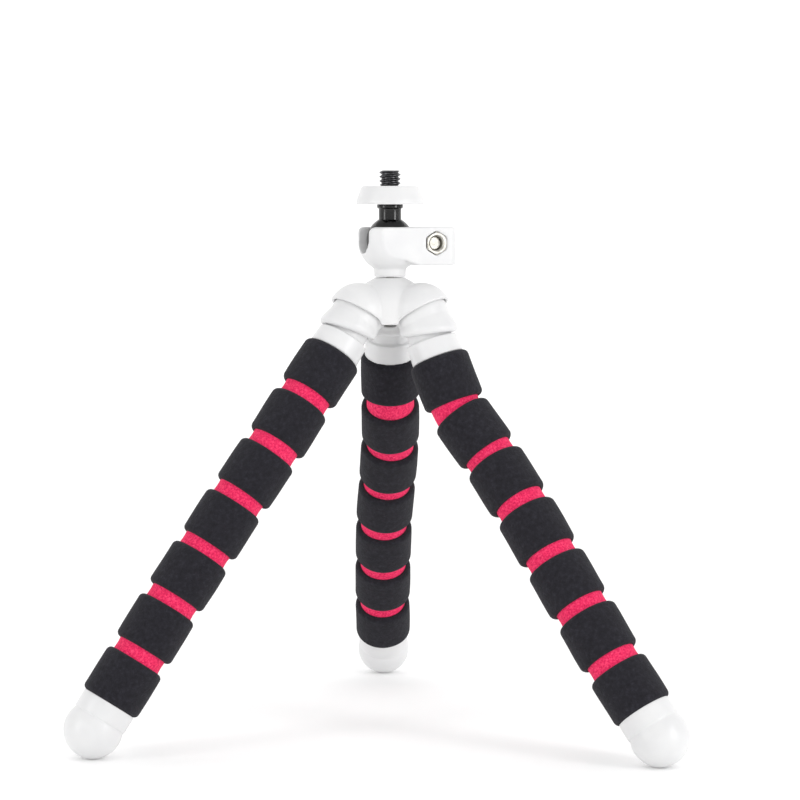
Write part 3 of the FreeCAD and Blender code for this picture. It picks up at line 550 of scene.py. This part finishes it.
def drawn_in(piece, joint):
    """Moves the outside of a piece towards a joint's axis. From the radius KNOB_CORE to KNOB_RADIUS the
    move grows to RIB_DRAW by the smooth step 3t^2 - 2t^3."""
    origin, axis = np.array(joint["pos_m"]), np.array(joint["axis"])
    flat = np.empty(3 * len(piece.data.vertices))
    piece.data.vertices.foreach_get("co", flat)
    points = flat.reshape(-1, 3)
    arm = points - origin
    arm = arm - np.outer(arm @ axis, axis)
    radius = np.linalg.norm(arm, axis=1, keepdims=True)
    t = np.clip((radius / MM - KNOB_CORE) / (KNOB_RADIUS - KNOB_CORE), 0, 1)
    points -= arm / np.maximum(radius, SLIVER) * RIB_DRAW * MM * (3 * t**2 - 2 * t**3)
    piece.data.vertices.foreach_set("co", points.ravel())
    piece.data.update()
    return piece


knob = drawn_in(softened("clamp_knob", 3), joints["knob_turn"])
finish_piece(knob, body_of["clamp_knob"], slot_of["clamp_knob"], "clamp_knob")

# %% [markdown]
# Many pieces of the head are round, so they come off a lathe: a profile of radius against height is
# carried once round the axis. Real mouldings have no knife edges, so each profile corner can be eased.
# Profiles are written in millimetres and turned to metres when they are eased.

# %% Helper: turned pieces
AROUND = 96
ANGLE = np.linspace(0, 2 * math.pi, AROUND, endpoint=False)


def carried_round(radius, height):
    """A grid of points at AROUND angles: radius times cosine, radius times sine, height."""
    return np.stack(np.broadcast_arrays(radius * np.cos(ANGLE), radius * np.sin(ANGLE), height), axis=-1)


def eased(corners, steps=6):
    """A profile in metres from (radius, height, easing) corners in mm. An eased corner is replaced by a
    parabola that starts and ends that far from it: (1-t)^2 start + 2t(1-t) corner + t^2 end."""
    points = np.array([corner[:2] for corner in corners], float)
    t = np.linspace(0, 1, steps)[:, None]
    parts = []
    for i, (_, _, ease) in enumerate(corners):
        here = points[i]
        if not ease or i in (0, len(corners) - 1):
            parts.append(here[None])
            continue
        before, after = points[i - 1] - here, points[i + 1] - here
        start = here + before / np.linalg.norm(before) * ease
        end = here + after / np.linalg.norm(after) * ease
        parts.append((1 - t) ** 2 * start + 2 * t * (1 - t) * here + t**2 * end)
    return np.concatenate(parts) * MM


def ball_arc(radius, low, high, centre=0.0, steps=24):
    """Profile corners on a ball, from one angle above its equator to another, in degrees and mm."""
    angle = np.radians(np.linspace(low, high, steps))
    return [(radius * math.cos(a), centre + radius * math.sin(a), 0) for a in angle]


def turned(name, profile, origin, turn=np.eye(3), closed=False):
    """Profile points (radius, height) carried round the local Z axis, then turned and moved into place."""
    local = carried_round(profile[:, :1], profile[:, 1:])
    return surface(name, local @ turn.T + origin, round_u=closed, round_v=True)


# %% [markdown]
# Camera screw. A screw thread is a surface whose radius depends on the height minus the share of a turn:
# where that phase is zero there is a crest, half a pitch on there is a root. The quarter-inch thread has
# a 1.27 mm pitch and is 6.35 mm across. Below the disc's top the screw is drawn plain, as in the frame.

# %% Camera screw
STUD_RADIUS, STUD_PITCH, THREAD_DEPTH = 3.175 * MM, 1.27 * MM, 0.65 * MM
DISC_HEIGHT = 5.5
DISC_TOP, STUD_TOP = DISC_HEIGHT * MM, 10.1 * MM
CREST_EDGE, FLANK_WIDTH = 0.88, 0.7
RUN_OUT, TIP_STEP = 0.3 * MM, 0.45 * MM
THREAD_ROWS = 130
SHANK_RADIUS, SHANK_DEPTH = 2.0, 9.0
PLAIN_RADIUS, PLAIN_TOP = 2.85, 5.45
seat = joint_point("disc_turn")


def screw_thread():
    """Radius = crest radius - depth * saw. The phase is the height in pitches minus the share of a turn,
    wave = |2 phase - 1|, and saw = (CREST_EDGE - wave) / FLANK_WIDTH held between 0 and 1. The thread
    runs out into a plain cylinder at the disc, and the tip is held under a 45 degree cone."""
    height = np.linspace(DISC_TOP, STUD_TOP, THREAD_ROWS)[:, None]
    phase = (height / STUD_PITCH - ANGLE / (2 * math.pi)) % 1.0
    wave = np.abs(2 * phase - 1)
    saw = np.clip((CREST_EDGE - wave) / FLANK_WIDTH, 0, 1)
    grown = np.clip((height - DISC_TOP) / RUN_OUT, 0, 1)
    radius = STUD_RADIUS - THREAD_DEPTH * np.maximum(saw, 1 - grown)
    radius = np.minimum(radius, STUD_RADIUS - TIP_STEP + (STUD_TOP - height))
    plain = eased(
        [
            (0, -SHANK_DEPTH, 0),
            (SHANK_RADIUS, -SHANK_DEPTH, 0),
            (SHANK_RADIUS, 0, 0),
            (PLAIN_RADIUS, 0, 0),
            (PLAIN_RADIUS, PLAIN_TOP, 0),
        ]
    )
    below = carried_round(plain[:, :1], plain[:, 1:])
    threaded = carried_round(radius, height)
    tip = carried_round(np.zeros((1, 1)), STUD_TOP)
    return surface("camera_screw", np.concatenate([below, threaded, tip]) + seat, round_v=True, sharp=40)


finish_piece(screw_thread(), "ball", "black_screw", "camera_stud")

# %% [markdown]
# Lock disc. It is a flat cone with a soft lower rim, and it turns up the screw against the camera. A
# small countersink clears the screw's thread. The profile is closed, so its last corner repeats the
# first while the rim is eased, and is dropped again.

# %% Lock disc
DISC_BORE, DISC_LIFT = 2.9, 0.05
SINK_RADIUS, SINK_START = 3.52, 4.9
SEAT_RADIUS, RIM_RADIUS, RIM_HEIGHT = 8.5, 10.12, 1.0

disc_profile = eased(
    [
        (DISC_BORE, DISC_LIFT, 0),
        (DISC_BORE, SINK_START, 0),
        (SINK_RADIUS, DISC_HEIGHT, 0),
        (SEAT_RADIUS, DISC_HEIGHT, 0.75),
        (RIM_RADIUS, RIM_HEIGHT, 0.6),
        (RIM_RADIUS, DISC_LIFT, 0.35),
        (DISC_BORE, DISC_LIFT, 0),
    ]
)[:-1]
disc = turned("lock_disc_turned", disc_profile, seat, closed=True)
finish_piece(disc, "disc", "white_plastic", "lock_disc")

# %% [markdown]
# Ball and stem. The ball is moulded in one with a short neck and a thin flange, and small fillets lead
# from one to the next, which catch the light as narrow bright lines. The screw's shank sits in a bore.

# %% Ball and stem
BALL_RADIUS, BALL_TOP = 7.0, 61.0
NECK_RADIUS, NECK_START, NECK_END = 3.35, 6.3, 9.5
FLANGE_RADIUS, FLANGE_START, FLANGE_END = 3.9, 9.62, 10.6
SHANK_FLOOR = 1.6

stem_profile = eased(
    ball_arc(BALL_RADIUS, -90, BALL_TOP)
    + [
        (NECK_RADIUS, NECK_START, 0.35),
        (NECK_RADIUS, NECK_END, 0.5),
        (FLANGE_RADIUS, FLANGE_START, 0.1),
        (FLANGE_RADIUS, FLANGE_END, 0.25),
        (SHANK_RADIUS, FLANGE_END, 0),
        (SHANK_RADIUS, SHANK_FLOOR, 0),
        (0, SHANK_FLOOR, 0),
    ]
)
stem = turned("ball_stem_turned", stem_profile, joint_point("ball_tilt"))
finish_piece(stem, "ball", "black_stem", "ball_stem")

# %% [markdown]
# Feet. Each leg ends in a moulded plug: a plain neck under the last ring, a faint shoulder, then a ball
# that stands on the floor. Inside the ring the same moulding carries the last ball of the bendable core.
# Heights are counted from that ball's centre, which is the leg's last groove joint.

# %% Feet
LINK_BALL_RADIUS, LINK_BALL_END = 3.7, -57.3
ROD_RADIUS, ROD_START, ROD_END = 2.0, -3.3, -8.5
PLUG_RADIUS, PLUG_START, PLUG_END = 5.2, -12.0, -16.05
FOOT_NECK_RADIUS, FOOT_NECK_END = 8.15, -21.1
SHOULDER_RADIUS, SHOULDER_HEIGHT = 7.94, -21.45
FOOT_RADIUS, FOOT_CENTRE, FOOT_START = 8.49, -24.75, 20.0

foot_profile = eased(
    ball_arc(LINK_BALL_RADIUS, 90, LINK_BALL_END)
    + [
        (ROD_RADIUS, ROD_START, 0),
        (ROD_RADIUS, ROD_END, 0),
        (PLUG_RADIUS, PLUG_START, 0),
        (PLUG_RADIUS, PLUG_END, 0),
        (FOOT_NECK_RADIUS, PLUG_END, 0.2),
        (FOOT_NECK_RADIUS, FOOT_NECK_END, 0.25),
        (SHOULDER_RADIUS, SHOULDER_HEIGHT, 0.15),
    ]
    + ball_arc(FOOT_RADIUS, FOOT_START, -90, centre=FOOT_CENTRE, steps=48)
)
for leg in LEGS:
    origin, turn = legs[leg][-1]
    foot = turned(f"{leg}_foot_turned", foot_profile, origin, turn)
    finish_piece(foot, f"{leg}_seg_{RINGS}", "white_plastic", f"{leg}_foot")

# %% [markdown]
# Foam rings. Each ring is a length of foam tube whose cut edges are pressed round. Its surface is a
# profile carried round the leg: straight flanks, quarter-circle edges and a plain bore. Soft foam is
# never quite true, so the outside swells by some hundredths of a millimetre and wavers a little,
# differently on each ring. The formula is quicker than pressing a cloth tube, and nothing here hangs.

# %% Foam rings
FOAM_RADIUS, FOAM_BORE, FOAM_ROUND = 9.05 * MM, 7.5 * MM, 1.5 * MM
SWELL, WAVER = 0.06 * MM, 0.035 * MM
EDGE_ROWS, FLANK_ROWS, BORE_ROWS = 9, 16, 5


def ring_profile():
    """Radius and height below the ring's top, once round the section: edge, flank, edge, bore."""
    arc = np.linspace(0, math.pi / 2, EDGE_ROWS)
    flank = np.linspace(FOAM_ROUND, RING_LENGTH - FOAM_ROUND, FLANK_ROWS)[1:-1]
    edge_radius = FOAM_RADIUS - FOAM_ROUND + FOAM_ROUND * np.sin(arc)
    edge_height = -FOAM_ROUND + FOAM_ROUND * np.cos(arc)
    side_radius, bore_radius = np.full(flank.size, FOAM_RADIUS), np.full(BORE_ROWS, FOAM_BORE)
    bore_height = np.linspace(-RING_LENGTH, 0, BORE_ROWS)
    radius = np.concatenate([edge_radius, side_radius, edge_radius[::-1], bore_radius])
    height = np.concatenate([edge_height, -flank, -RING_LENGTH - edge_height[::-1], bore_height])
    return radius[:, None], height[:, None]


def foam_ring(leg, number, seed):
    """Radius = profile + swell (a half sine along the ring) + waver (three slow waves round and along).
    Both fade from the outside to the bore. A ring hangs half a groove below the joint over it, and the
    first one hangs FOAM_START below the fold pin."""
    radius, height = ring_profile()
    phase = np.random.default_rng(seed).uniform(0, 2 * math.pi, 3)
    along = -height / RING_LENGTH
    outside = np.clip((radius - FOAM_BORE) / (FOAM_RADIUS - FOAM_BORE), 0, 1)
    swell = SWELL * np.sin(math.pi * along)
    waver = WAVER * (
        np.sin(2 * ANGLE + phase[0])
        + np.sin(3 * ANGLE + 4 * along + phase[1])
        + np.sin(5 * ANGLE - 6 * along + phase[2])
    )
    reach = radius + outside * (swell + waver - SWELL)
    origin, turn = legs[leg][number - 1]
    drop = FOAM_START if number == 1 else GROOVE / 2
    local = carried_round(reach, height - drop)
    ring = surface(f"{leg}_foam_{number}", local @ turn.T + origin, round_u=True, round_v=True, sharp=60)
    finish_piece(ring, f"{leg}_seg_{number}", "black_foam", f"{leg}_ring_{number}")


for leg_number, leg in enumerate(LEGS):
    for number in range(1, RINGS + 1):
        foam_ring(leg, number, seed=100 * leg_number + number)

# %% [markdown]
# Red foam. Inside the rings a red foam tube runs the whole leg, and it shows where the grooves are. It
# bends with each groove, so it is made as one short tube per groove, from the middle of one ring to the
# middle of the next, and each blends from the upper body to the lower one. Between the rings it is
# squeezed a little, so the tube has a shallow waist.

# %% Red foam in the grooves
SLEEVE_RADIUS, SLEEVE_BORE = 7.4 * MM, 5.7 * MM
WAIST_DEPTH, WAIST_REACH = 0.12 * MM, 1.5 * MM
END_REACH = RING_LENGTH + GROOVE / 2 - 0.1 * MM
FINE_REACH, BLEND_REACH = 4, 3
FINE_ROWS, COARSE_ROWS = 29, 5


def groove_foam(leg, groove):
    """A tube along a line that turns at the joint. Upper half: upper frame; lower half: lower frame;
    between them the two are mixed by a smooth step over BLEND_REACH mm each way, so the bend has no
    kink. The rows are close together within FINE_REACH mm of the joint."""
    upper_turn = legs[leg][groove - 1][1]
    origin, lower_turn = legs[leg][groove]
    up_reach = PITCH / 2 if groove > 1 else END_REACH
    down_reach = PITCH / 2 if groove < RINGS - 1 else END_REACH
    down = np.concatenate(
        [
            np.linspace(-up_reach, -FINE_REACH * MM, COARSE_ROWS)[:-1],
            np.linspace(-FINE_REACH, FINE_REACH, FINE_ROWS) * MM,
            np.linspace(FINE_REACH * MM, down_reach, COARSE_ROWS)[1:],
        ]
    )
    mix = np.clip(down / (BLEND_REACH * MM) * 0.5 + 0.5, 0, 1)
    mix = mix * mix * (3 - 2 * mix)
    waist = WAIST_DEPTH * np.exp(-((down / WAIST_REACH) ** 2))
    radius = np.concatenate([SLEEVE_RADIUS - waist, np.full(down.size, SLEEVE_BORE)])
    drop = np.concatenate([down, down[::-1]])
    share = np.concatenate([mix, mix[::-1]])[:, None, None]
    local = carried_round(radius[:, None], -drop[:, None])
    points = (1 - share) * (local @ upper_turn.T) + share * (local @ lower_turn.T) + origin
    tube = surface(f"{leg}_red_{groove}", points, round_u=True, round_v=True, sharp=60)
    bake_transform(tube)
    finish_piece(tube, None, "red_foam", f"{leg}_sleeve")


for leg in LEGS:
    for groove in range(1, RINGS):
        groove_foam(leg, groove)
